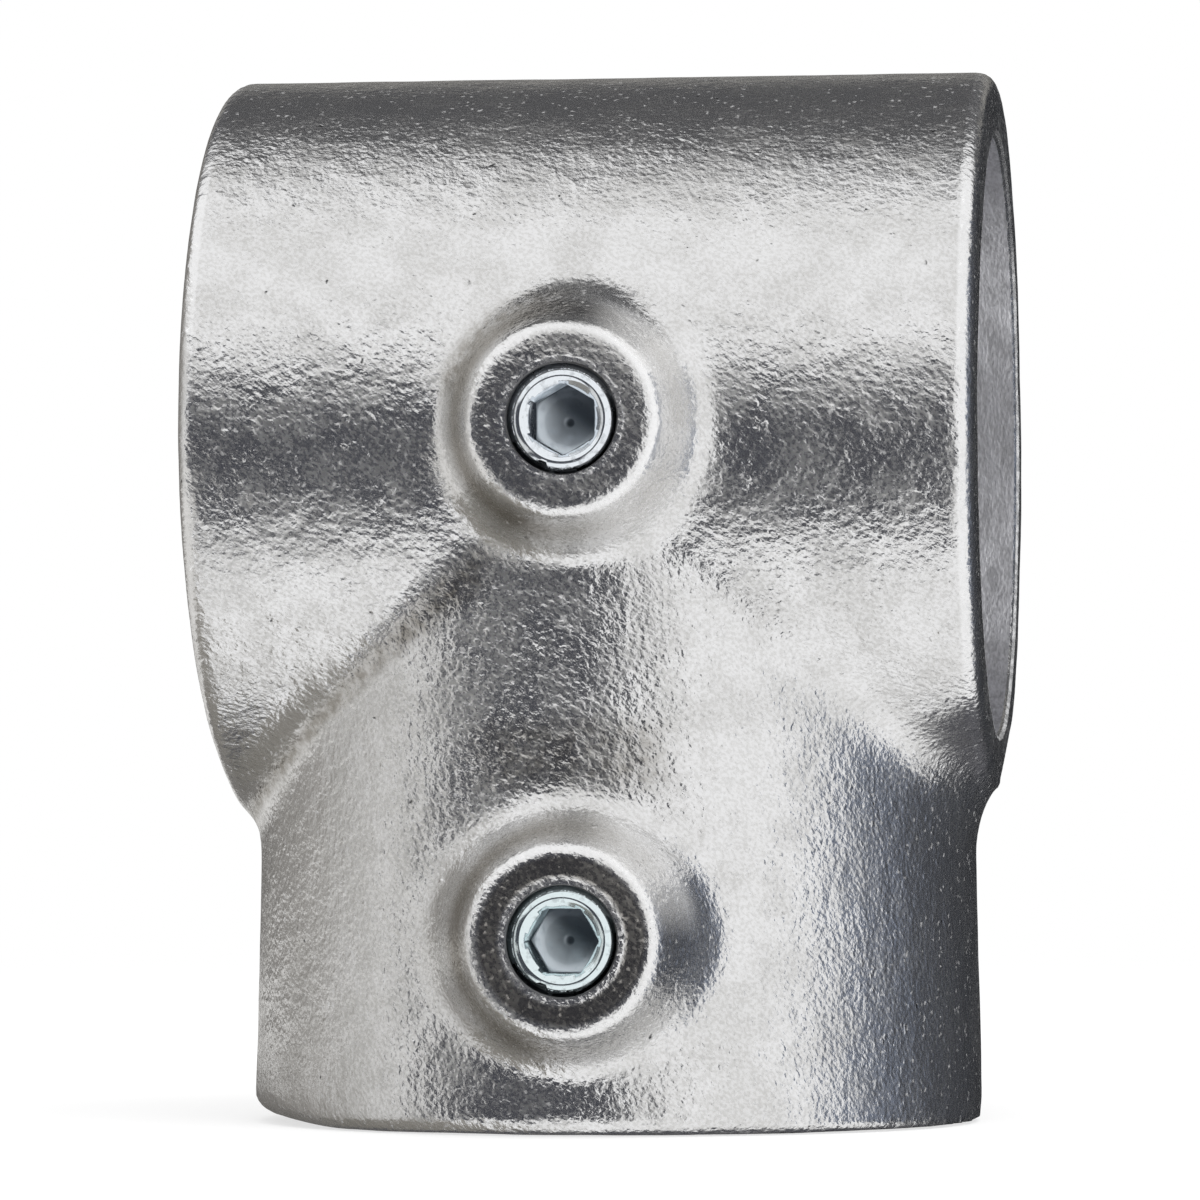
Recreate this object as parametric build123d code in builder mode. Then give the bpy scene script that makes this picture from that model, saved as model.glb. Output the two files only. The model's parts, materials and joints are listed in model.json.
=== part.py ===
from build123d import *
import os
from math import radians, tan

# Short tee for structural tube: one galvanised malleable-iron casting and two M10
# hexagon-socket set screws. The through sleeve lies along X and the leg points down
# along -Z. The origin is where their axes cross, and both set screws enter from -Y.
# Sizes are in millimetres and angles in degrees.

# Tube and sockets
tube_d = 48.3  # outside diameter of the tube that both sockets take
socket_play = 0.45  # radial play of the tube in its socket
run_wall = 5.4  # wall of the through sleeve
run_overhang = 2.75  # each end of the sleeve reaches this far past the leg's root
mouth_chamfer = 0.5  # inside edge of every socket's mouth
rim_round = 1.5  # outside edge of every socket's mouth

# Leg
leg_reach = 56.5  # from the sleeve's axis to the leg's mouth
leg_setback = 1.0  # the leg's root is this much smaller in radius than the sleeve
leg_draft = 1.2  # the leg widens towards its mouth by this angle
crotch_round = 4.2  # concave blend where the leg meets the sleeve
stop_ledge = 2.9  # metal between the sleeve's bore and the ledge that stops the leg's tube
port_d = 34.0  # opening through the ledge into the sleeve's bore
port_break = 0.8  # broken edges of that opening

# Bosses that carry the set screws
upper_boss_drop = 0.5  # from the sleeve's axis down to the upper boss
lower_boss_inset = 15.4  # from the leg's mouth up to the lower boss
boss_d = 15.0  # across the boss's end, before its edge is rounded
boss_proud = 5.2  # how far the boss's end stands off the sleeve
boss_draft = 28.0  # the boss flares towards the casting by this angle
boss_blend = 2.2  # concave blend at the boss's foot
boss_rim_round = 0.9  # rounded edge of the boss's end

# M10 set screws, drawn smooth at the tapping size of their thread
tapping_d = 8.7  # hole through the boss
thread_play = 0.05  # radial play of the screw in its hole
tapped_break = 0.2  # broken edge where the hole leaves the boss's end
screw_length = 10.0
tip_clear = 0.3  # at rest the point stops this far short of the socket
screw_end_d = 6.9  # flat end, inside the end's chamfer
end_chamfer_angle = 30.0  # the end's chamfer falls away from the flat by this angle
key_mouth_d = 6.6  # countersunk mouth of the key's socket
key_mouth_angle = 100.0
key_across = 5.0  # hexagon, across its flats
key_depth = 4.0
key_drill_d = 4.8  # drilled before the hexagon is broached
drill_angle = 118.0
cup_d = 5.0  # cup that bites into the tube
cup_angle = 118.0
point_chamfer = 0.9

# Places that follow from the sizes above
socket_r = tube_d / 2 + socket_play
run_r = socket_r + run_wall
leg_root_r = run_r - leg_setback
leg_mouth_r = leg_root_r + leg_reach * tan(radians(leg_draft))
run_half = leg_root_r + run_overhang
leg_socket_depth = leg_reach - socket_r - stop_ledge
boss_end_y = -(run_r + boss_proud)
boss_depth = boss_proud + run_wall
upper_boss_z = -upper_boss_drop
lower_boss_z = lower_boss_inset - leg_reach
screw_end_y = -(socket_r + tip_clear + screw_length)

right_end = Plane.YZ.offset(run_half)
left_end = Plane.YZ.offset(-run_half)
leg_mouth = Plane.XY.offset(-leg_reach)
boss_end = Plane.XZ.offset(-boss_end_y)
boss_centres = [(0, upper_boss_z), (0, lower_boss_z)]


def cone_depth(radius, point_angle):
    return radius / tan(radians(point_angle / 2))


os.makedirs("parts", exist_ok=True)

# The casting's outside: two crossed barrels blended at the crotch, with two flared bosses
with BuildPart() as tee_body:
    with BuildSketch(Plane.YZ):
        Circle(run_r)
    # drawn longer than it ends, so that the crotch's blend runs out past both ends
    extrude(amount=run_half + 2 * crotch_round, both=True)
    with BuildSketch(leg_mouth):
        Circle(leg_mouth_r)
    extrude(amount=leg_reach, taper=leg_draft)
    fillet(tee_body.edges(Select.NEW), crotch_round)

    with BuildSketch(boss_end):
        with Locations(*boss_centres):
            Circle(boss_d / 2)
    extrude(amount=-boss_depth, taper=-boss_draft)
    fillet(tee_body.edges(Select.NEW), boss_blend)
    fillet(tee_body.faces().filter_by(boss_end).edges(), boss_rim_round)

    # the sleeve's ends are cut square through the blend, then all three rims are rounded
    split(bisect_by=right_end, keep=Keep.BOTTOM)
    split(bisect_by=left_end, keep=Keep.TOP)
    rims = [
        tee_body.faces().sort_by(Axis.X)[0],
        tee_body.faces().sort_by(Axis.X)[-1],
        tee_body.faces().sort_by(Axis.Z)[0],
    ]
    fillet([edge for rim in rims for edge in rim.outer_wire().edges()], rim_round)

    # through socket, leg socket up to its stop ledge, and the port between the two
    with BuildSketch(right_end):
        Circle(socket_r)
    extrude(amount=-2 * run_half, mode=Mode.SUBTRACT)
    with BuildSketch(leg_mouth):
        Circle(socket_r)
    extrude(amount=leg_socket_depth, mode=Mode.SUBTRACT)
    with BuildSketch(leg_mouth):
        Circle(port_d / 2)
    extrude(amount=leg_reach, mode=Mode.SUBTRACT)
    chamfer(tee_body.edges(Select.NEW), port_break)
    mouths = [
        tee_body.faces().sort_by(Axis.X)[0],
        tee_body.faces().sort_by(Axis.X)[-1],
        tee_body.faces().sort_by(Axis.Z)[0],
    ]
    chamfer([edge for mouth in mouths for edge in mouth.inner_wires()[0].edges()], mouth_chamfer)

    # tapped holes, from the bosses' ends into the sockets
    with BuildSketch(boss_end):
        with Locations(*boss_centres):
            Circle(tapping_d / 2)
    extrude(amount=boss_end_y, mode=Mode.SUBTRACT)
    boss_faces = tee_body.faces().filter_by(boss_end)
    chamfer([edge for face in boss_faces for edge in face.inner_wires()[0].edges()], tapped_break)
tee_body.part.label = "tee_body"
export_step(tee_body.part, "parts/tee_body.step")

# Set screws: a turned blank with a drilled end and a cup point, then the broached hexagon
screw_r = tapping_d / 2 - thread_play
screw_end_r = screw_end_d / 2
key_mouth_r = key_mouth_d / 2
key_drill_r = key_drill_d / 2
cup_r = cup_d / 2
screw_section = [
    (0, -key_depth - cone_depth(key_drill_r, drill_angle)),
    (key_drill_r, -key_depth),
    (key_drill_r, -cone_depth(key_mouth_r - key_drill_r, key_mouth_angle)),
    (key_mouth_r, 0),
    (screw_end_r, 0),
    (screw_r, (screw_end_r - screw_r) * tan(radians(end_chamfer_angle))),
    (screw_r, point_chamfer - screw_length),
    (screw_r - point_chamfer, -screw_length),
    (cup_r, -screw_length),
    (0, cone_depth(cup_r, cup_angle) - screw_length),
]
set_screws = {  # node: height of its boss, turn of its hexagon
    "upper_set_screw": (upper_boss_z, 30),
    "lower_set_screw": (lower_boss_z, 0),
}
for node, (screw_z, key_turn) in set_screws.items():
    screw_end = Plane(origin=(0, screw_end_y, screw_z), x_dir=(1, 0, 0), z_dir=(0, -1, 0))
    along_screw = Plane(origin=screw_end.origin, x_dir=screw_end.x_dir, z_dir=-screw_end.y_dir)
    with BuildPart() as set_screw:
        with BuildSketch(along_screw):
            with BuildLine():
                Polyline(*screw_section, close=True)
            make_face()
        revolve(axis=Axis(screw_end.origin, screw_end.z_dir))
        with BuildSketch(screw_end):
            RegularPolygon(key_across / 2, side_count=6, major_radius=False, rotation=key_turn)
        extrude(amount=-key_depth, mode=Mode.SUBTRACT)
    set_screw.part.label = node
    export_step(set_screw.part, f"parts/{node}.step")
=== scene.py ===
import json
import random
from math import radians, sin, cos, pi, tau

import bpy
import bmesh
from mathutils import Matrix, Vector, noise


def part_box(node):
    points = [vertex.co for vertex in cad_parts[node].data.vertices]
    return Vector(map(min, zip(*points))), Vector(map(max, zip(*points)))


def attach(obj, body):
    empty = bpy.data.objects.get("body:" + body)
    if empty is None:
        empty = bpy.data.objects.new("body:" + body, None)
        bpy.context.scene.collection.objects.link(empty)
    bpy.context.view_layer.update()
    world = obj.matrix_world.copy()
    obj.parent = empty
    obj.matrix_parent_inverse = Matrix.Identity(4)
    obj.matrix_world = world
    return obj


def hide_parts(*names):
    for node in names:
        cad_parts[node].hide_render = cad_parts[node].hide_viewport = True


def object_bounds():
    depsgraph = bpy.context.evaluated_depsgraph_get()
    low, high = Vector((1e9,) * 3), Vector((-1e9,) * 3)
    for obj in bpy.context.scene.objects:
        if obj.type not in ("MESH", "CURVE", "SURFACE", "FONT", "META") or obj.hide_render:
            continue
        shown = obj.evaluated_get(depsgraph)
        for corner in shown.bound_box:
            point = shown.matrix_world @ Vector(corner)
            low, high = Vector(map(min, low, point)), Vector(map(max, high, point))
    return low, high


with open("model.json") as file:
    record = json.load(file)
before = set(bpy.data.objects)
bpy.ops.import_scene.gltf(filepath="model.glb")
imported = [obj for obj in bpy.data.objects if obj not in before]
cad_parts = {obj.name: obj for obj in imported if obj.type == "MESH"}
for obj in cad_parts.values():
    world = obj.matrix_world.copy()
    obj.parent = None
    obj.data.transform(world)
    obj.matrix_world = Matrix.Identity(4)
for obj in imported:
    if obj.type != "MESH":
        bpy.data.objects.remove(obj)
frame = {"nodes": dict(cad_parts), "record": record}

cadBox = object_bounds()
floorHeight = cadBox[0].z
print("stage 1: frame loaded")


# Camera: a long lens a little to the right of the fitting and almost level with it
camera = {
    "lens": 190.3,
    "sensor": 36,
    "clip": (0.05, 20),
    "distance": 0.527,  # from the sleeve's axis
    "height": -0.032,
    "azimuth": 7.33,  # where it stands
    "heading": 7.5,  # where it points
    "lookUp": 2.02,
}

cameraData = bpy.data.cameras.new("camera")
cameraData.lens = camera["lens"]
cameraData.sensor_width = camera["sensor"]
cameraData.clip_start, cameraData.clip_end = camera["clip"]
cameraObject = bpy.data.objects.new("camera", cameraData)
standing = radians(camera["azimuth"])
cameraObject.location = (
    camera["distance"] * sin(standing),
    -camera["distance"] * cos(standing),
    camera["height"],
)
cameraObject.rotation_euler = (radians(90 + camera["lookUp"]), 0, radians(camera["heading"]))
bpy.context.scene.collection.objects.link(cameraObject)
bpy.context.scene.camera = cameraObject
bpy.context.scene.view_settings.view_transform = "Standard"


# Small helpers for pieces and for node materials
def newPiece(name, mesh):
    data = bpy.data.meshes.new(name)
    mesh.to_mesh(data)
    mesh.free()
    piece = bpy.data.objects.new(name, data)
    bpy.context.scene.collection.objects.link(piece)
    return piece


def addNode(tree, kind, **settings):
    node = tree.nodes.new(kind)
    for name, value in settings.items():
        setattr(node, name, value)
    return node


# links a socket, or sets a plain value
def feed(tree, value, node, socket):
    if isinstance(value, bpy.types.NodeSocket):
        tree.links.new(value, node.inputs[socket])
    else:
        node.inputs[socket].default_value = value


def newTree(name):
    material = bpy.data.materials.new(name)
    material.use_nodes = True
    tree = material.node_tree
    tree.nodes.clear()
    return material, tree, addNode(tree, "ShaderNodeOutputMaterial")


def newGroup(name, masks):
    tree = bpy.data.node_groups.new(name, "ShaderNodeTree")
    tree.interface.new_socket("Place", in_out="INPUT", socket_type="NodeSocketVector")
    for mask in masks:
        tree.interface.new_socket(mask, in_out="OUTPUT", socket_type="NodeSocketFloat")
    place = addNode(tree, "NodeGroupInput").outputs["Place"]
    return tree, place, addNode(tree, "NodeGroupOutput")


def groupNode(tree, group, place):
    node = addNode(tree, "ShaderNodeGroup", node_tree=group)
    feed(tree, place, node, "Place")
    return node.outputs


def calc(tree, operation, *values):
    node = addNode(tree, "ShaderNodeMath", operation=operation)
    for slot, value in enumerate(values):
        feed(tree, value, node, slot)
    return node.outputs[0]


def times(tree, first, *others):
    for value in others:
        first = calc(tree, "MULTIPLY", first, value)
    return first


def highest(tree, first, *others):
    for value in others:
        first = calc(tree, "MAXIMUM", first, value)
    return first


def vectorCalc(tree, operation, *values):
    node = addNode(tree, "ShaderNodeVectorMath", operation=operation)
    for slot, value in enumerate(values):
        feed(tree, value, node, slot)
    return node.outputs["Value" if operation in ("LENGTH", "DISTANCE", "DOT_PRODUCT") else "Vector"]


def between(tree, value, low, high, toLow=0.0, toHigh=1.0):
    node = addNode(tree, "ShaderNodeMapRange", interpolation_type="SMOOTHSTEP")
    for slot, level in enumerate((value, low, high, toLow, toHigh)):
        feed(tree, level, node, slot)
    return node.outputs[0]


# a mask from one value to another, with soft edges
def band(tree, value, low, high, edge):
    rise = between(tree, value, low - edge, low + edge)
    return times(tree, rise, between(tree, value, high + edge, high - edge))


def blend(tree, share, first, second):
    node = addNode(tree, "ShaderNodeMix", data_type="RGBA")
    feed(tree, share, node, 0)
    for slot, color in ((6, first), (7, second)):
        feed(tree, color if isinstance(color, bpy.types.NodeSocket) else (*color, 1), node, slot)
    return node.outputs[2]


def noiseNode(tree, vector, scale, detail):
    node = addNode(tree, "ShaderNodeTexNoise")
    feed(tree, vector, node, "Vector")
    feed(tree, scale, node, "Scale")
    feed(tree, detail, node, "Detail")
    return node.outputs


def noiseMask(tree, vector, scale, detail, *levels):
    return between(tree, noiseNode(tree, vector, scale, detail)["Fac"], *levels)


# moves every place a little, so that cells and spots lose their regular shapes
def shaken(tree, vector, scale, reach):
    centred = vectorCalc(tree, "SUBTRACT", noiseNode(tree, vector, scale, 1)["Color"], (0.5, 0.5, 0.5))
    return vectorCalc(tree, "MULTIPLY_ADD", centred, (reach, reach, reach), vector)


# spots in some of the cells; core and sure are where a spot and a choice are complete
def scattered(tree, vector, scale, size, share, core=0.1, sure=0.6):
    cells = addNode(tree, "ShaderNodeTexVoronoi")
    feed(tree, vector, cells, "Vector")
    feed(tree, scale, cells, "Scale")
    parts = addNode(tree, "ShaderNodeSeparateColor")
    feed(tree, cells.outputs["Color"], parts, 0)
    chosen = between(tree, parts.outputs[0], 1 - share, 1 - share * sure)
    return times(tree, between(tree, cells.outputs["Distance"], size, size * core), chosen)


def slantedPlace(tree, vector, scale, turn):
    node = addNode(tree, "ShaderNodeVectorRotate", rotation_type="Y_AXIS")
    feed(tree, vector, node, "Vector")
    feed(tree, radians(turn), node, "Angle")
    return vectorCalc(tree, "MULTIPLY", node.outputs[0], scale)


def sidesOf(tree, vector):
    node = addNode(tree, "ShaderNodeSeparateXYZ")
    feed(tree, vector, node, 0)
    return node.outputs


# the distance from an axis: the plane is 1 along the two directions that count
def fromAxis(tree, vector, plane):
    return vectorCalc(tree, "LENGTH", vectorCalc(tree, "MULTIPLY", vector, plane))


# Studio: a white tent round the fitting, with dark cards that draw its dark bands
tent = {
    "seen": 1.0,  # how white it looks, straight and in metal
    "fill": 1.0,  # what it gives to matt surfaces
}


def makeWorld():
    world = bpy.data.worlds.new("tent")
    bpy.context.scene.world = world
    world.use_nodes = True
    tree = world.node_tree
    tree.nodes.clear()
    path = addNode(tree, "ShaderNodeLightPath").outputs
    seen = highest(tree, path["Is Camera Ray"], path["Is Glossy Ray"], path["Is Transmission Ray"])
    level = addNode(tree, "ShaderNodeMapRange")
    feed(tree, seen, level, "Value")
    feed(tree, tent["fill"], level, "To Min")
    feed(tree, tent["seen"], level, "To Max")
    background = addNode(tree, "ShaderNodeBackground")
    feed(tree, (1, 1, 1, 1), background, "Color")
    feed(tree, level.outputs[0], background, "Strength")
    feed(tree, background.outputs[0], addNode(tree, "ShaderNodeOutputWorld"), "Surface")


floorSizes = {
    "spread": (6.0, 6.0),
    "color": (0.93, 0.93, 0.93),
    "fade": (0.12, 0.6, 0.6, 1.0),  # distances from the fitting, and the share of plain white there
}

# a pale strip on the floor that only the fitting's left side mirrors
floorGlow = {
    "spread": (0.28, 0.7),
    "middle": (-0.22, 0.15),
    "lift": 0.0001,
    "color": (0.78, 0.77, 0.75),
}


def flatPiece(name, spread, middle):
    mesh = bmesh.new()
    bmesh.ops.create_grid(mesh, x_segments=1, y_segments=1, size=0.5)
    bmesh.ops.scale(mesh, verts=mesh.verts, vec=(*spread, 1))
    bmesh.ops.translate(mesh, verts=mesh.verts, vec=middle)
    return newPiece(name, mesh)


def makeFloor():
    floor = flatPiece("floor", floorSizes["spread"], (0, 0, floorHeight))
    material, tree, output = newTree("floor")
    matt = addNode(tree, "ShaderNodeBsdfDiffuse")
    feed(tree, (*floorSizes["color"], 1), matt, "Color")
    glow = addNode(tree, "ShaderNodeEmission")
    away = vectorCalc(tree, "LENGTH", addNode(tree, "ShaderNodeTexCoord").outputs["Object"])
    seen = addNode(tree, "ShaderNodeLightPath").outputs["Is Camera Ray"]
    mix = addNode(tree, "ShaderNodeMixShader")
    feed(tree, times(tree, between(tree, away, *floorSizes["fade"]), seen), mix, "Fac")
    feed(tree, matt.outputs[0], mix, 1)
    feed(tree, glow.outputs[0], mix, 2)
    feed(tree, mix.outputs[0], output, "Surface")
    floor.data.materials.append(material)
    floor.visible_glossy = False


def onlyMirrored(piece, material):
    piece.data.materials.append(material)
    piece.visible_camera = False
    piece.visible_diffuse = False
    piece.visible_shadow = False


def makeFloorGlow():
    middle = (*floorGlow["middle"], floorHeight + floorGlow["lift"])
    glowPiece = flatPiece("floorGlow", floorGlow["spread"], middle)
    material, tree, output = newTree("floorGlow")
    glow = addNode(tree, "ShaderNodeEmission")
    feed(tree, (*floorGlow["color"], 1), glow, "Color")
    feed(tree, glow.outputs[0], output, "Surface")
    onlyMirrored(glowPiece, material)


cardStand = {
    "distance": 2.0,
    "gap": 0.02,  # each card stands this much nearer than the one above it
    "steps": 12,
}

# each card: heading from and to, elevation from and to, in degrees, and its grey at either end
cards = {
    "frontCard": (-53, 10, -32, 16, (0.07, 0.072, 0.084), (0.07, 0.072, 0.084)),
    "leftCard": (-53, -100, -32, 27, (0.84, 0.835, 0.825), (0.46, 0.45, 0.435)),
    "farLeftCard": (-100, -178, -32, 27, (0.38, 0.365, 0.345), (0.1, 0.095, 0.09)),
    "rightCard": (80, 114, -30, 30, (0.25, 0.285, 0.365), (0.085, 0.09, 0.103)),
    "farRightCard": (114, 184, -30, 30, (0.085, 0.09, 0.103), (0.02, 0.02, 0.02)),
    "topCard": (120, 240, 27, 90, (0.1, 0.1, 0.104), (0.1, 0.1, 0.104)),
    "topEdgeCard": (-88, 88, 80, 90, (0.25, 0.25, 0.255), (0.25, 0.25, 0.255)),
    "backCard": (150, 210, 16, 27, (0.34, 0.33, 0.31), (0.34, 0.33, 0.31)),
    "underCard": (120, 240, -80, -30, (0.1, 0.1, 0.11), (0.1, 0.1, 0.11)),
    "lowLeftCard": (-50, -150, -70, -32, (0.3, 0.285, 0.26), (0.22, 0.21, 0.19)),
}


def makeCard(name, away, headingFrom, headingTo, lowFrom, lowTo, colorFrom, colorTo):
    steps = cardStand["steps"]
    mesh = bmesh.new()
    shade = mesh.verts.layers.float_color.new("shade")
    grid = bmesh.ops.create_grid(mesh, x_segments=steps, y_segments=steps, size=0.5)
    for vert in grid["verts"]:
        along = vert.co.x + 0.5
        vert[shade] = (*Vector(colorFrom).lerp(Vector(colorTo), along), 1)
        heading = radians(headingFrom + along * (headingTo - headingFrom))
        lift = radians(lowFrom + (vert.co.y + 0.5) * (lowTo - lowFrom))
        vert.co = away * Vector((sin(heading) * cos(lift), -cos(heading) * cos(lift), sin(lift)))
    card = newPiece(name, mesh)
    material, tree, output = newTree(name)
    glow = addNode(tree, "ShaderNodeEmission")
    shadeNode = addNode(tree, "ShaderNodeVertexColor", layer_name="shade")
    feed(tree, shadeNode.outputs["Color"], glow, "Color")
    feed(tree, glow.outputs[0], output, "Surface")
    onlyMirrored(card, material)


overheadLamp = {
    "place": (0.3, -0.6, 1.2),
    "size": 1.2,
    "energy": 12,
}


def makeLamp():
    data = bpy.data.lights.new("overheadLamp", "AREA")
    data.size = overheadLamp["size"]
    data.energy = overheadLamp["energy"]
    lamp = bpy.data.objects.new("overheadLamp", data)
    lamp.location = overheadLamp["place"]
    lamp.rotation_euler = (-Vector(overheadLamp["place"])).to_track_quat("-Z", "Y").to_euler()
    lamp.visible_camera = False
    lamp.visible_glossy = False
    bpy.context.scene.collection.objects.link(lamp)


makeWorld()
makeFloor()
makeFloorGlow()
for order, (cardName, cardFacts) in enumerate(cards.items()):
    makeCard(cardName, cardStand["distance"] - cardStand["gap"] * order, *cardFacts)
makeLamp()
print("stage 2: camera, tent, cards and floor")


# Casting: its skin is remeshed and given the unevenness of a casting, then a core with the
# shape of its sockets and holes is cut out of it, and the holes get their threads
casting = {
    "node": "tee_body",
    "weld": 2e-6,
    "seal": 1e-7,  # closes the poles of what is spun
    "holeMargin": 0.0006,  # how far a mouth's broken edge reaches past its socket
    "holeReach": 0.0046,  # the same for a tapped hole, from its axis
    "voxel": 0.00057,
    "smoothPasses": 10,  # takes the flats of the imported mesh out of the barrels
    "smoothFactor": 0.5,
    "rimPasses": 3,
    "rimReach": 0.0022,  # how near an end a vertex gets fewer passes
    "coreReach": 0.0012,  # how far the core runs out of each mouth
    "swells": ((0.011, 0.00012), (0.0036, 0.00005)),  # spacing and depth of the unevenness
    "swellNoise": (-0.8, 0.8),  # the noise's own range
    "turnedSteps": 120,
    "turnedDepth": 0.00006,
    "turnedPitch": 0.0014,
    "turnedVary": (0.5, 1.3),
    "sharpAngle": 32,
    "wornFrom": (-0.019, -0.028),  # the leg's mouth is worn round on its left, between these
    "wornHeight": 0.0024,
    "wornWay": (1, 0, 0.8),
    "wornDepth": 0.0006,
    "crispFrom": (0.012, 0.026),  # its edge is crisper on its right, between these
    "crispRound": 0.0015,
    "crispShare": 0.75,
    "drawnFrom": (0.0255, 0.0308),  # the sleeve's lower right end drew in as it cooled
    "drawnHeight": (-0.0215, -0.0287),
    "drawnEnd": (-0.0350, -0.0300),
    "drawnDepth": 0.0018,
    "nub": (0.0316, 0.001, -0.0281),  # flash left at that end
    "nubReach": 0.0014,
    "nubLift": 0.0006,
}

# M10 coarse thread: one ridge that winds round the screw, and a wider one that cuts the hole
thread = {
    "pitch": 0.0015,
    "rodRadius": 0.00408,
    "ridge": ((0.00395, 0.00057), (0.00492, 0.0001)),  # radius and half width, foot and crest
    "groove": ((0.0042, 0.00064), (0.00505, 0.00014)),
    "stepsPerTurn": 40,
    "startAngle": 75,  # where the thread starts on the hole's rim
    "overrun": 0.0014,
    "mouth": 0.0007,  # the hole's groove starts this far inside
}

screws = {
    "bodies": {"upper_set_screw": "upper_screw", "lower_set_screw": "lower_screw"},
    "endRadius": 0.00345,
    "endFall": 0.577,  # how steeply the end's chamfer falls away
    "tipRadius": 0.0034,
    "envelopeRadius": 0.0052,
    "rodSteps": 96,
    "notchTurn": (100, 52),  # where the thread runs out through the chamfer, and for how long
    "notchReach": (0.00346, 0.0046),
    "notchShift": (-0.00069, 0, -0.00012),
    "notchDepth": 0.0006,
    "notchSteps": 12,
}

bores = [mount for mount in frame["record"]["mounts"] if mount["kind"] == "bore"]
socketRadius = bores[0]["dims"]["r_mm"] / 1000
castingLow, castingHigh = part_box(casting["node"])
screwBoxes = {node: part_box(node) for node in screws["bodies"]}
screwMiddles = {node: (low + high) / 2 for node, (low, high) in screwBoxes.items()}


def mergedCopy(node):
    mesh = bmesh.new()
    mesh.from_mesh(frame["nodes"][node].data)
    bmesh.ops.remove_doubles(mesh, verts=mesh.verts, dist=casting["weld"])
    return mesh


def nearHole(point, reach):
    return point.y < 0 and any(
        Vector((point.x - hole.x, point.z - hole.z)).length < reach
        for hole in screwMiddles.values()
    )


def insideSockets(point):
    socketReach = socketRadius + casting["holeMargin"]
    if Vector((point.y, point.z)).length < socketReach:
        return True
    if point.z < -socketRadius / 2 and Vector((point.x, point.y)).length < socketReach:
        return True
    return nearHole(point, casting["holeReach"])


def closeHoles(mesh):
    rims = [edge for edge in mesh.edges if edge.is_boundary]
    caps = bmesh.ops.holes_fill(mesh, edges=rims, sides=0)["faces"]
    bmesh.ops.recalc_face_normals(mesh, faces=mesh.faces)
    return caps


def applied(piece, kind, **settings):
    modifier = piece.modifiers.new(kind, kind)
    for name, value in settings.items():
        setattr(modifier, name, value)
    graph = bpy.context.evaluated_depsgraph_get()
    data = bpy.data.meshes.new_from_object(piece.evaluated_get(graph))
    piece.modifiers.clear()
    piece.data = data
    return piece


def combine(piece, tool, operation):
    applied(piece, "BOOLEAN", object=tool, operation=operation, solver="MANIFOLD")
    bpy.data.objects.remove(tool)


def makeSkin():
    mesh = mergedCopy(casting["node"])
    inner = [face for face in mesh.faces if insideSockets(face.calc_center_median())]
    bmesh.ops.delete(mesh, geom=inner, context="FACES")
    closeHoles(mesh)
    skin = newPiece("tee_body_cast", mesh)
    return applied(skin, "REMESH", mode="VOXEL", voxel_size=casting["voxel"])


def ease(value, low, high):
    share = min(max((value - low) / (high - low), 0), 1)
    return share * share * (3 - 2 * share)


def smoothBarrels(mesh):
    reach = casting["rimReach"]
    barrels = [
        vert
        for vert in mesh.verts
        if abs(vert.co.x) < castingHigh.x - reach
        and vert.co.z > castingLow.z + reach
        and vert.co.y > castingLow.y + reach / 2
    ]
    axes = dict(use_axis_x=True, use_axis_y=True, use_axis_z=True)
    for smoothPass in range(casting["smoothPasses"]):
        verts = barrels if smoothPass >= casting["rimPasses"] else mesh.verts
        bmesh.ops.smooth_vert(mesh, verts=verts, factor=casting["smoothFactor"], **axes)
    mesh.normal_update()


def swelled(vert):
    low, high = casting["swellNoise"]
    sink = sum(
        depth * (noise.noise(vert.co / spacing) - high) / (high - low)
        for spacing, depth in casting["swells"]
    )
    return vert.co + vert.normal * min(sink, 0)


def crisped(spot, rimRadius):
    rimRound = casting["crispRound"]
    away = Vector((spot.x, spot.y))
    out = away.length - (rimRadius - rimRound)
    down = castingLow.z + rimRound - spot.z
    if min(out, down) <= 0:
        return spot
    grown = casting["crispShare"] * ease(spot.x, *casting["crispFrom"])
    grown *= Vector((out, down)).length / max(out, down) - 1
    away *= 1 + out * grown / away.length
    return Vector((away.x, away.y, max(spot.z - down * grown, castingLow.z)))


def wornRound(spot):
    left = ease(spot.x, *casting["wornFrom"])
    low = ease(spot.z, castingLow.z + casting["wornHeight"], castingLow.z)
    return spot + Vector(casting["wornWay"]) * casting["wornDepth"] * left * low


def drawnIn(spot):
    drawn = ease(spot.x, *casting["drawnFrom"]) * ease(spot.z, *casting["drawnHeight"])
    drawn *= ease(spot.z, *casting["drawnEnd"])
    spot.z += casting["drawnDepth"] * drawn
    near = ease((spot - Vector(casting["nub"])).length, casting["nubReach"], 0)
    spot.z -= casting["nubLift"] * near
    return spot


def makeUneven(piece):
    mesh = bmesh.new()
    mesh.from_mesh(piece.data)
    smoothBarrels(mesh)
    rimTop = castingLow.z + 2 * casting["rimReach"]
    rimRadius = max(vert.co.x for vert in mesh.verts if vert.co.z < rimTop)
    for vert in mesh.verts:
        vert.co = drawnIn(wornRound(crisped(swelled(vert), rimRadius)))
    mesh.to_mesh(piece.data)
    mesh.free()


def makeCore():
    mesh = mergedCopy(casting["node"])
    outer = [face for face in mesh.faces if not insideSockets(face.calc_center_median())]
    bmesh.ops.delete(mesh, geom=outer, context="FACES")
    caps = closeHoles(mesh)
    for cap in bmesh.ops.extrude_discrete_faces(mesh, faces=caps)["faces"]:
        bmesh.ops.translate(mesh, verts=cap.verts, vec=cap.normal * casting["coreReach"])
    return newPiece("core", mesh)


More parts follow.
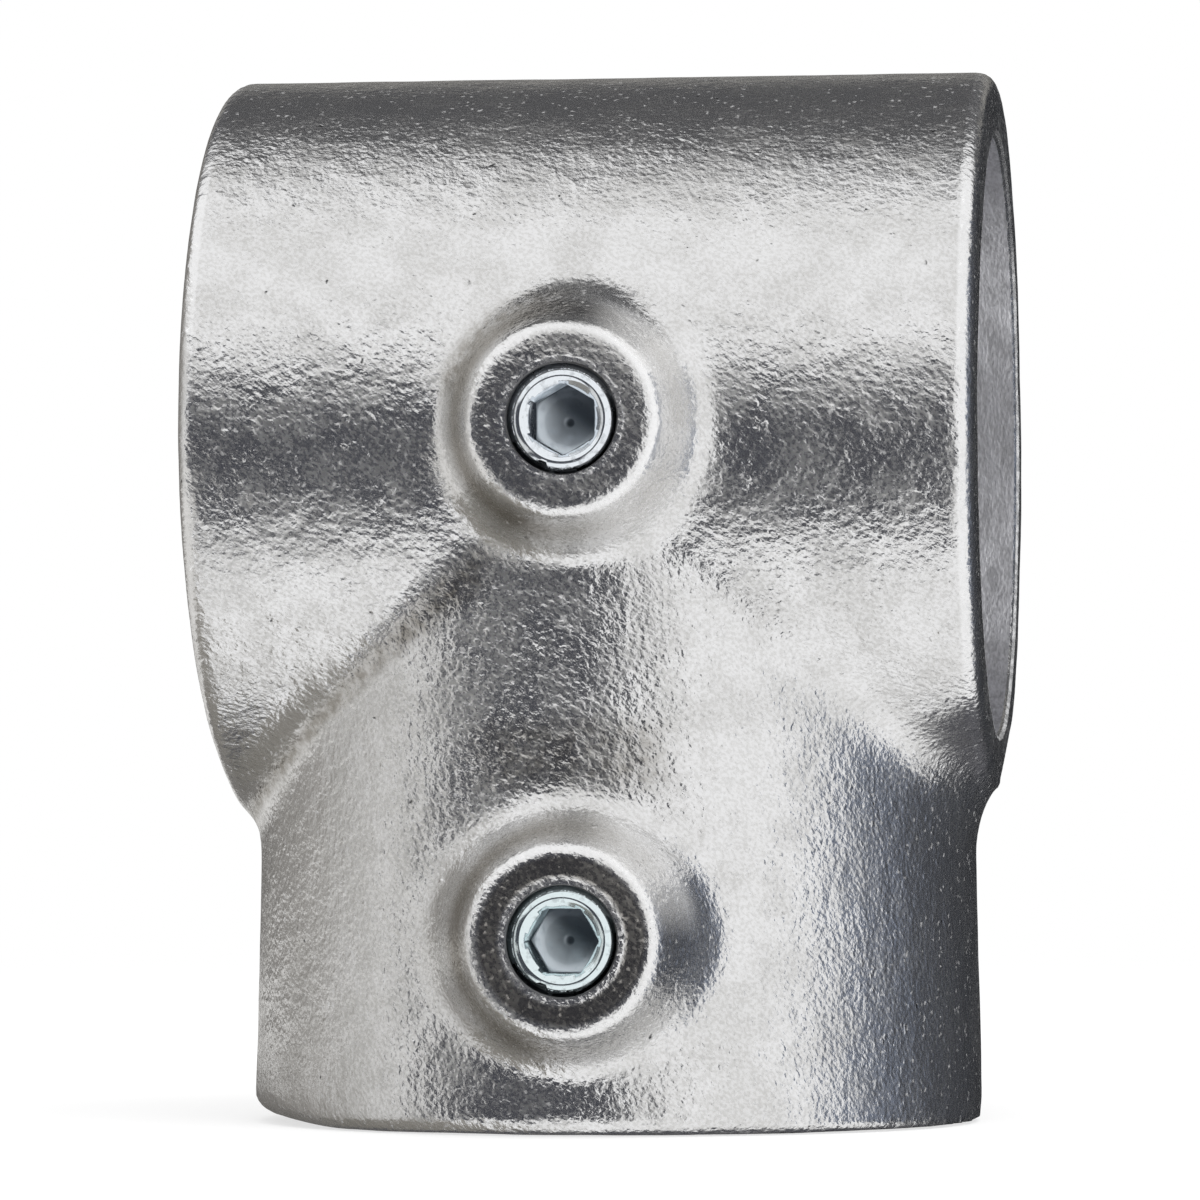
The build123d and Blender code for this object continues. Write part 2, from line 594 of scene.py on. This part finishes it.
def spunPiece(name, outline, centre, axis, steps):
    mesh = bmesh.new()
    side = axis.orthogonal().normalized()
    line = [mesh.verts.new(centre + axis * along + side * radius) for along, radius in outline]
    for start, end in zip(line, line[1:]):
        mesh.edges.new((start, end))
    everything = mesh.verts[:] + mesh.edges[:]
    bmesh.ops.spin(mesh, geom=everything, cent=centre, axis=axis, angle=tau, steps=steps, use_merge=True)
    bmesh.ops.remove_doubles(mesh, verts=mesh.verts, dist=casting["seal"])
    bmesh.ops.recalc_face_normals(mesh, faces=mesh.faces)
    return newPiece(name, mesh)


# swings a section of radius and depth round a screw's axis, and lets it travel by rise a step
def sweptPiece(name, section, start, turn, angle, steps, rise=0):
    mesh = bmesh.new()
    loop = [
        mesh.verts.new(start + Vector((radius * cos(turn), along, -radius * sin(turn))))
        for radius, along in section
    ]
    for first, second in zip(loop, loop[1:] + loop[:1]):
        mesh.edges.new((first, second))
    bmesh.ops.spin(
        mesh,
        geom=mesh.verts[:] + mesh.edges[:],
        cent=start,
        axis=(0, 1, 0),
        dvec=(0, rise, 0),
        angle=angle,
        steps=steps,
    )
    closeHoles(mesh)
    return newPiece(name, mesh)


def woundPiece(name, profile, centre, startDepth):
    (footRadius, footHalf), (crestRadius, crestHalf) = profile
    section = [
        (footRadius, -footHalf),
        (crestRadius, -crestHalf),
        (crestRadius, crestHalf),
        (footRadius, footHalf),
    ]
    start = Vector((centre.x, castingLow.y + startDepth, centre.z))
    turns = (-socketRadius + thread["overrun"] - start.y) / thread["pitch"]
    steps = round(turns * thread["stepsPerTurn"])
    angle = tau * steps / thread["stepsPerTurn"]
    rise = thread["pitch"] / thread["stepsPerTurn"]
    return sweptPiece(name, section, start, radians(thread["startAngle"]), angle, steps, rise)


# a socket's room, with the faint rings that turning leaves; its flats lie outside the true circle
def turnedTool(name, start, axis, length):
    radius = socketRadius / cos(pi / casting["turnedSteps"])
    outline = [(0, 0), (0, radius)]
    place = 0
    while place < length - 2 * casting["turnedPitch"]:
        place += casting["turnedPitch"] * random.uniform(*casting["turnedVary"])
        depth = casting["turnedDepth"] * random.random() * (len(outline) % 2)
        outline.append((place, radius + depth))
    outline += [(length, radius), (length, 0)]
    return spunPiece(name, outline, start, axis, casting["turnedSteps"])


def finishMesh(piece):
    for face in piece.data.polygons:
        face.use_smooth = True
    piece.data.set_sharp_from_angle(angle=radians(casting["sharpAngle"]))
    triangles = sum(len(face.vertices) - 2 for face in piece.data.polygons)
    print("   ", piece.name, triangles, "triangles")


def makeCasting():
    piece = makeSkin()
    makeUneven(piece)
    combine(piece, makeCore(), "DIFFERENCE")
    reach = casting["coreReach"]
    runStart = Vector((castingLow.x - reach, 0, 0))
    runLength = 2 * (castingHigh.x + reach)
    combine(piece, turnedTool("runTool", runStart, Vector((1, 0, 0)), runLength), "DIFFERENCE")
    legStart = Vector((0, 0, castingLow.z - reach))
    legLength = bores[1]["dims"]["length_mm"] / 1000 + reach
    combine(piece, turnedTool("legTool", legStart, Vector((0, 0, 1)), legLength), "DIFFERENCE")
    for middle in screwMiddles.values():
        groove = woundPiece("groove", thread["groove"], middle, thread["mouth"])
        combine(piece, groove, "DIFFERENCE")
    finishMesh(piece)
    return piece


def makeNotch(middle, half):
    turn, length = (radians(angle) for angle in screws["notchTurn"])
    centre = middle + Vector(screws["notchShift"]) - Vector((0, half, 0))
    inner, outer = screws["notchReach"]
    depth = screws["notchDepth"]
    section = [(inner, -depth), (outer, -depth), (outer, depth), (inner, depth)]
    return sweptPiece("notch", section, centre, turn, length, screws["notchSteps"])


def makeScrew(node):
    low, high = screwBoxes[node]
    middle = screwMiddles[node]
    half = (high.y - low.y) / 2
    inward = Vector((0, 1, 0))
    rodRadius = thread["rodRadius"]
    endRadius, tipRadius = screws["endRadius"], screws["tipRadius"]
    widest = screws["envelopeRadius"]
    rodOutline = [(-2 * half, 0), (-2 * half, rodRadius), (2 * half, rodRadius), (2 * half, 0)]
    envelopeOutline = [
        (-half, 0),
        (-half, endRadius),
        (-half + (widest - endRadius) * screws["endFall"], widest),
        (half - widest + tipRadius, widest),
        (half, tipRadius),
        (half, 0),
    ]
    rod = spunPiece("rod", rodOutline, middle, inward, screws["rodSteps"])
    envelope = spunPiece("envelope", envelopeOutline, middle, inward, screws["rodSteps"])
    ridge = woundPiece("ridge", thread["ridge"], middle, -thread["overrun"])
    piece = newPiece(node + "_threaded", mergedCopy(node))
    combine(piece, rod, "INTERSECT")
    combine(ridge, envelope, "INTERSECT")
    combine(piece, ridge, "UNION")
    combine(piece, makeNotch(middle, half), "DIFFERENCE")
    finishMesh(piece)
    return piece


random.seed(7)
castingPiece = makeCasting()
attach(castingPiece, "casting")
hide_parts(casting["node"])
screwPieces = {}
for screwNode, screwBody in screws["bodies"].items():
    screwPieces[screwNode] = makeScrew(screwNode)
    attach(screwPieces[screwNode], screwBody)
    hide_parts(screwNode)
print("stage 3: casting and set screws")


# Finishes: what the casting and the screws share is made once, as groups of masks and heights
finishes = {
    "zincCoat": (0.81, 0.81, 0.815),
    "zincDull": (0.64, 0.635, 0.625),
    # bright zinc colours the worn edges and the burr, and the painted highlights on the sleeve's ends
    # and socket mouths
    "zincBright": (0.88, 0.88, 0.885),
    # soot is also the colour of the painted shade in the crotch, above the upper boss and above the
    # lower boss
    "soot": (0.27, 0.25, 0.22),
    "taupeTintAndShade": (0.32, 0.3, 0.27),
    # the key floor's colour is painted light on its lower left; the dark key colour is painted shade on
    # its upper right and at its tip, and also colours dust and the thread's root
    "keyFloor": (0.72, 0.78, 0.83),
    "keyDirtAndShade": (0.12, 0.138, 0.16),
    "fleck": (0.34, 0.34, 0.345),
    "pinhole": (0.03, 0.03, 0.032),
    "sleeveTurned": ((0.5, 0.5, 0.52), (0.86, 0.86, 0.89)),
    # the tapped hole's turned colours are kept dark: painted shade in the hole
    "holeTurnedAndShaded": ((0.07, 0.07, 0.072), (0.2, 0.2, 0.205)),
    "upperPlate": (0.8, 0.84, 0.88),
    "lowerPlate": (0.74, 0.83, 0.85),
}

# In the tables below a noise is its scale and detail, and where it starts and is full; spots are
# their scale, size and share; a band is from, to and its soft edge; a fade is from nothing to full.
# A second pair of numbers says what a noise or a fade gives at its ends, where that isn't 0 and 1.
grain = {
    "slant": ((0.72, 1, 1), -38),  # stretch, and turn in degrees
    "shake": (1900, 0.0007),
    "fine": (2500, 2),
    "fineDepth": 0.00007,
    "lumps": (620, 2),
    "lumpsDepth": 0.00013,
    "roughMiddle": (0.012, -0.026, -0.036),  # the leg's front came out of the mould rougher
    "roughFade": (0.036, 0.014, 1.0, 1.5),
    "patches": (210, 2, 0.38, 0.6, 0.4, 1.0),
    "specks": (1350, 0.5, 0.45),
    "specksDepth": 0.00003,
    "pinholes": ((610, 0.13, 0.2), (270, 0.085, 0.16)),
    "pinholesDepth": -0.00004,
    "mottle": (4200, 1, 0.3, 0.68),
    "mottleShare": 0.6,
    "broad": (240, 2, 0.35, 0.65),
    "broadShare": 0.4,
    "flecks": (1700, 0.36, 0.34),
}


def fromScrew(tree, place, node):
    return fromAxis(tree, vectorCalc(tree, "SUBTRACT", place, screwMiddles[node]), (1, 0, 1))


def makeCastGrain():
    tree, place, output = newGroup("castGrain", ("Height", "Cloud", "Flecks", "Pinholes"))
    slanted = slantedPlace(tree, place, *grain["slant"])
    uneven = shaken(tree, place, *grain["shake"])
    fine = times(tree, noiseNode(tree, slanted, *grain["fine"])["Fac"], grain["fineDepth"])
    lumps = times(tree, noiseNode(tree, place, *grain["lumps"])["Fac"], grain["lumpsDepth"])
    away = vectorCalc(tree, "DISTANCE", place, grain["roughMiddle"])
    rough = between(tree, away, *grain["roughFade"])
    patches = noiseMask(tree, place, *grain["patches"])
    specks = scattered(tree, uneven, *grain["specks"])
    raised = times(tree, specks, patches, rough, grain["specksDepth"])
    pinholes = highest(tree, *(scattered(tree, uneven, *spots) for spots in grain["pinholes"]))
    sunk = times(tree, pinholes, grain["pinholesDepth"])
    height = calc(tree, "MULTIPLY_ADD", fine, rough, lumps)
    height = calc(tree, "ADD", height, calc(tree, "ADD", raised, sunk))
    mottle = noiseMask(tree, slanted, *grain["mottle"])
    broad = times(tree, noiseMask(tree, place, *grain["broad"]), grain["broadShare"])
    feed(tree, height, output, "Height")
    feed(tree, calc(tree, "MULTIPLY_ADD", mottle, grain["mottleShare"], broad), output, "Cloud")
    feed(tree, scattered(tree, uneven, *grain["flecks"]), output, "Flecks")
    feed(tree, pinholes, output, "Pinholes")
    return tree


turned = {
    "fine": (5200, 1),
    "fineShare": 0.45,
    "broad": (1100, 2),
    "broadShare": 0.55,
    "depth": 0.00006,
    "streaks": (0.34, 0.66),
    "roughness": (0.48, 0.36),
    "sleeve": (0.8, 0.35, 0.35),  # how the marks are stretched along each axis
    "leg": (0.35, 0.35, 0.8),
    "hole": (0.1, 1, 0.1),
}


def makeTurnedMarks():
    tree, place, output = newGroup("turnedMarks", ("Height", "Streaks"))
    fine = noiseNode(tree, place, *turned["fine"])["Fac"]
    broad = times(tree, noiseNode(tree, place, *turned["broad"])["Fac"], turned["broadShare"])
    streaks = calc(tree, "MULTIPLY_ADD", fine, turned["fineShare"], broad)
    feed(tree, times(tree, streaks, turned["depth"]), output, "Height")
    feed(tree, between(tree, streaks, *turned["streaks"]), output, "Streaks")
    return tree


shadeAndChalk = {
    "front": (-0.022, -0.025),  # all but the crotch's painted shade lies on the front
    "crotch": (0.0008, 0.0023, 0.0006),  # painted shade in the left crotch, where the two barrels meet
    "crotchLeft": (-0.005, -0.009),
    "crotchLow": (-0.006, -0.009),
    "cap": (0.0085, 0.0108, 0.0009),  # painted shade above the upper boss, on its left
    "capLeft": (0.002, -0.003),
    "capHigh": (0.0005, 0.0035),
    "bridge": (-0.0290, -0.0240, 0.0015),  # painted shade above the lower boss
    "bridgeAcross": (0.0095, 0.0055, 0, 0.75),
    "broken": (1100, 3, 0.35, 0.65, 0.35, 0.8),
    "upperChalk": (0.0074, 0.0098, 0.0006),  # chalky zinc on the right of both bosses
    "lowerChalk": (0.0074, 0.0100, 0.0006),
    "chalkRight": (0.001, 0.005),
    "chalkHigh": (-0.0415, -0.0375),
    "chalkShare": 0.6,
}


def makeCastShadeAndChalk():
    tree, place, output = newGroup("castShadeAndChalk", ("PaintedShade", "Chalk"))
    sides = sidesOf(tree, place)
    front = between(tree, sides["Y"], *shadeAndChalk["front"])
    upper, lower = (fromScrew(tree, place, node) for node in screwMiddles)
    step = calc(tree, "SUBTRACT", fromAxis(tree, place, (0, 1, 1)), fromAxis(tree, place, (1, 1, 0)))
    crotch = times(
        tree,
        band(tree, step, *shadeAndChalk["crotch"]),
        between(tree, sides["X"], *shadeAndChalk["crotchLeft"]),
        between(tree, sides["Z"], *shadeAndChalk["crotchLow"]),
    )
    cap = times(
        tree,
        band(tree, upper, *shadeAndChalk["cap"]),
        front,
        between(tree, sides["X"], *shadeAndChalk["capLeft"]),
        between(tree, sides["Z"], *shadeAndChalk["capHigh"]),
    )
    across = calc(tree, "ABSOLUTE", sides["X"])
    bridge = times(
        tree,
        band(tree, sides["Z"], *shadeAndChalk["bridge"]),
        front,
        between(tree, across, *shadeAndChalk["bridgeAcross"]),
    )
    # the crotch, the cap and the bridge are painted shade, broken up by noise
    paintedShade = times(tree, highest(tree, crotch, cap, bridge), noiseMask(tree, place, *shadeAndChalk["broken"]))
    lowerChalk = band(tree, lower, *shadeAndChalk["lowerChalk"])
    lowerChalk = times(tree, lowerChalk, between(tree, sides["Z"], *shadeAndChalk["chalkHigh"]))
    chalk = highest(tree, band(tree, upper, *shadeAndChalk["upperChalk"]), lowerChalk)
    right = times(tree, between(tree, sides["X"], *shadeAndChalk["chalkRight"]), front)
    feed(tree, paintedShade, output, "PaintedShade")
    feed(tree, times(tree, chalk, right, shadeAndChalk["chalkShare"]), output, "Chalk")
    return tree


def metalSurface(tree, output, color, roughness, height, metal=1):
    surface = addNode(tree, "ShaderNodeBsdfPrincipled")
    feed(tree, metal, surface, "Metallic")
    feed(tree, color, surface, "Base Color")
    feed(tree, roughness, surface, "Roughness")
    bump = addNode(tree, "ShaderNodeBump")
    feed(tree, 1, bump, "Distance")
    feed(tree, height, bump, "Height")
    feed(tree, bump.outputs[0], surface, "Normal")
    feed(tree, surface.outputs[0], output, "Surface")


galvanised = {
    "front": (-0.026, -0.028),
    "broken": (1500, 3, 0.38, 0.66),
    "burr": (0.0047, 0.0049, 0.00012),  # the tapped hole's torn edge
    "burrHeight": 0.00002,
    "soot": (0.0050, 0.0066, 0.0003),
    "sootLow": (-0.018, -0.022),  # it is darkest round the lower hole
    "sootShares": (0.55, 0.2),
    "sootCalm": -0.8,  # it fills the grain
    "worn": (0.0070, 0.00755, 0.0002),  # the bosses' bright edges
    "collarTintAndShade": (0.0080, 0.0095, 0.0007),  # a taupe tint round each boss's foot, deepened by painted shade on its left
    "collarShadeLeft": (0.006, -0.007, 0.25, 0.95),
    "rim": (0.0303, 0.0311, 0.00015),  # a painted highlight along the sleeve's rounded end edges
    "wornAndHighlightShare": 0.7,
    "mouth": (0.0248, 0.02515, 0.00005),  # a painted highlight on the chamfer round the sleeve's sockets, strongest low down; it is also made chalky, not metallic
    "mouthEnd": (0.0309, 0.0311),
    "mouthBroken": (0, 1, 0.55, 1.0),
    "mouthLow": (0.019, 0.013, 0.3, 1.0),
    "fleckShare": 0.6,
    "chalkShare": -0.6,
    "roughness": (0.33, 0.17),
}


def makeGalvanised(castGrain, castShadeAndChalk):
    material, tree, output = newTree("galvanisedIron")
    place = addNode(tree, "ShaderNodeTexCoord").outputs["Object"]
    skin = groupNode(tree, castGrain, place)
    marks = groupNode(tree, castShadeAndChalk, place)
    sides = sidesOf(tree, place)
    front = between(tree, sides["Y"], *galvanised["front"])
    away = calc(tree, "MINIMUM", *(fromScrew(tree, place, node) for node in screwMiddles))
    across = calc(tree, "ABSOLUTE", sides["X"])
    broken = noiseMask(tree, place, *galvanised["broken"])
    burr = times(tree, band(tree, away, *galvanised["burr"]), broken, front)
    below = between(tree, sides["Z"], *galvanised["sootLow"])
    sooty = calc(tree, "MULTIPLY_ADD", below, *galvanised["sootShares"])
    soot = times(tree, band(tree, away, *galvanised["soot"]), front, sooty)
    worn = times(tree, band(tree, away, *galvanised["worn"]), front)
    left = between(tree, sides["X"], *galvanised["collarShadeLeft"])
    collarTintAndShade = times(tree, band(tree, away, *galvanised["collarTintAndShade"]), front, left)
    rim = band(tree, across, *galvanised["rim"])
    # painted highlight round the sleeve's socket mouths
    mouth = times(
        tree,
        band(tree, fromAxis(tree, place, (0, 1, 1)), *galvanised["mouth"]),
        between(tree, across, *galvanised["mouthEnd"]),
        between(tree, broken, *galvanised["mouthBroken"]),
        between(tree, sides["Z"], *galvanised["mouthLow"]),
    )
    color = blend(tree, skin["Cloud"], finishes["zincDull"], finishes["zincCoat"])
    color = blend(tree, times(tree, skin["Flecks"], galvanised["fleckShare"]), color, finishes["fleck"])
    # the boss's foot: its taupe tint, and painted shade on its left
    color = blend(tree, collarTintAndShade, color, finishes["taupeTintAndShade"])
    # the soot colour paints the soot round the holes and the painted shade in the crotch and above both
    # bosses
    color = blend(tree, highest(tree, soot, marks["PaintedShade"]), color, finishes["soot"])
    # the bosses' worn edges and the painted highlight on the sleeve's end edges take the bright zinc
    # colour
    wornAndHighlight = times(tree, highest(tree, worn, rim), galvanised["wornAndHighlightShare"])
    color = blend(tree, highest(tree, mouth, burr, wornAndHighlight), color, finishes["zincBright"])
    color = blend(tree, skin["Pinholes"], color, finishes["pinhole"])
    roughness = between(tree, skin["Cloud"], 0, 1, *galvanised["roughness"])
    calm = calc(tree, "MULTIPLY_ADD", soot, galvanised["sootCalm"], 1)
    height = times(tree, skin["Height"], calm)
    height = calc(tree, "MULTIPLY_ADD", burr, galvanised["burrHeight"], height)
    # zinc carbonate isn't metallic: it looks dark in the bright zones and light in the dark ones
    chalk = highest(tree, skin["Flecks"], mouth, marks["Chalk"])
    metal = calc(tree, "MULTIPLY_ADD", chalk, galvanised["chalkShare"], 1)
    metalSurface(tree, output, color, roughness, height, metal)
    return material


def makeTurned(name, stretch, colors, turnedMarks):
    material, tree, output = newTree(name)
    place = addNode(tree, "ShaderNodeTexCoord").outputs["Object"]
    marks = groupNode(tree, turnedMarks, vectorCalc(tree, "MULTIPLY", place, stretch))
    color = blend(tree, marks["Streaks"], *colors)
    roughness = between(tree, marks["Streaks"], 0, 1, *turned["roughness"])
    metalSurface(tree, output, color, roughness, marks["Height"])
    return material


plate = {
    "keyMouth": (0.0030, 0.0028),  # the key lies within this
    "keyFloor": (0.0037, 0.008, 0.0002),  # and its floor this deep
    "floorRoughness": 0.35,
    "shadeSide": (0.6, 0, 0.8),  # painted shade lies on this side of each key's floor, painted light on the other
    "shadeFade": 0.0012,
    # painted shade over the glint at the key's tip
    "tipShade": (0.0006, 0.0002),
    "dust": (1700, 3, 0.5, 0.75),
    "dustShare": 0.3,
    "root": (0.0040, 0.0044, 0.0002),  # the thread's root is darker near the end
    "rootDepth": (0.0006, 0.0009),
    "rootShare": 0.75,
    "roughness": (0.13, 0.3),
    "marksShare": 0.2,
}


def makePlate(name, node, turnedMarks):
    material, tree, output = newTree(name)
    place = addNode(tree, "ShaderNodeTexCoord").outputs["Object"]
    away = fromScrew(tree, place, node)
    rings = addNode(tree, "ShaderNodeCombineXYZ")
    feed(tree, away, rings, "X")
    marks = groupNode(tree, turnedMarks, rings.outputs[0])
    depth = calc(tree, "SUBTRACT", sidesOf(tree, place)["Y"], screwBoxes[node][0].y)
    inside = between(tree, away, *plate["keyMouth"])
    keyFloor = times(tree, band(tree, depth, *plate["keyFloor"]), inside)
    dust = noiseMask(tree, place, *plate["dust"])
    slope = vectorCalc(tree, "DOT_PRODUCT", place, plate["shadeSide"])
    middleSlope = screwMiddles[node].dot(Vector(plate["shadeSide"]))
    fade = plate["shadeFade"]
    # painted light and shade on the key's floor: lit on the lower left, shaded on the upper right and at
    # the tip
    keyFloorShade = between(tree, slope, middleSlope - fade, middleSlope + fade)
    keyFloorShade = highest(tree, keyFloorShade, between(tree, away, *plate["tipShade"]))
    keyFloorLightAndShade = blend(tree, keyFloorShade, finishes["keyFloor"], finishes["keyDirtAndShade"])
    dustShare = times(tree, dust, plate["dustShare"])
    tint = blend(tree, dustShare, finishes[name], finishes["keyDirtAndShade"])
    tint = blend(tree, keyFloor, tint, keyFloorLightAndShade)
    root = times(tree, band(tree, away, *plate["root"]), between(tree, depth, *plate["rootDepth"]))
    tint = blend(tree, times(tree, root, plate["rootShare"]), tint, finishes["keyDirtAndShade"])
    smooth = between(tree, dust, 0, 1, *plate["roughness"])
    roughness = calc(tree, "MULTIPLY_ADD", keyFloor, plate["floorRoughness"], smooth)
    metalSurface(tree, output, tint, roughness, times(tree, marks["Height"], plate["marksShare"]))
    return material


def paintPiece(piece, materials, pick):
    piece.data.materials.clear()
    for material in materials:
        piece.data.materials.append(material)
    for face in piece.data.polygons:
        face.material_index = pick(face)


def sharpenSeams(piece):
    mesh = bmesh.new()
    mesh.from_mesh(piece.data)
    for edge in mesh.edges:
        if len({face.material_index for face in edge.link_faces}) > 1:
            edge.smooth = False
    mesh.to_mesh(piece.data)
    mesh.free()


# where the casting's machined faces lie
machined = {
    "margin": 0.00012,  # a turned face lies this near its socket's radius
    "port": 0.0185,  # the port between the sockets lies within this
    "thread": 0.0052,
    "bossEnd": (0.0004, -0.985),  # a boss's end is this near the front, and faces it
}


def castingFinish(face):
    spot = face.center
    if nearHole(spot, machined["thread"]):
        depth, facing = machined["bossEnd"]
        return 0 if face.normal.y < facing and spot.y < castingLow.y + depth else 3
    turnedReach = socketRadius + machined["margin"]
    if Vector((spot.y, spot.z)).length < turnedReach:
        return 1
    if spot.z < -socketRadius and machined["port"] < Vector((spot.x, spot.y)).length < turnedReach:
        return 2
    return 0


castGrain = makeCastGrain()
turnedMarks = makeTurnedMarks()
castingMaterials = [
    makeGalvanised(castGrain, makeCastShadeAndChalk()),
    makeTurned("turnedSleeve", turned["sleeve"], finishes["sleeveTurned"], turnedMarks),
    makeTurned("turnedLeg", turned["leg"], finishes["sleeveTurned"], turnedMarks),
    # the tapped hole carries painted shade in its dark turned colours
    makeTurned("tappedHole", turned["hole"], finishes["holeTurnedAndShaded"], turnedMarks),
]
paintPiece(castingPiece, castingMaterials, castingFinish)
sharpenSeams(castingPiece)
for screwNode, plateName in (("upper_set_screw", "upperPlate"), ("lower_set_screw", "lowerPlate")):
    plated = makePlate(plateName, screwNode, turnedMarks)
    paintPiece(screwPieces[screwNode], [plated], lambda face: 0)
print("stage 4: finishes")
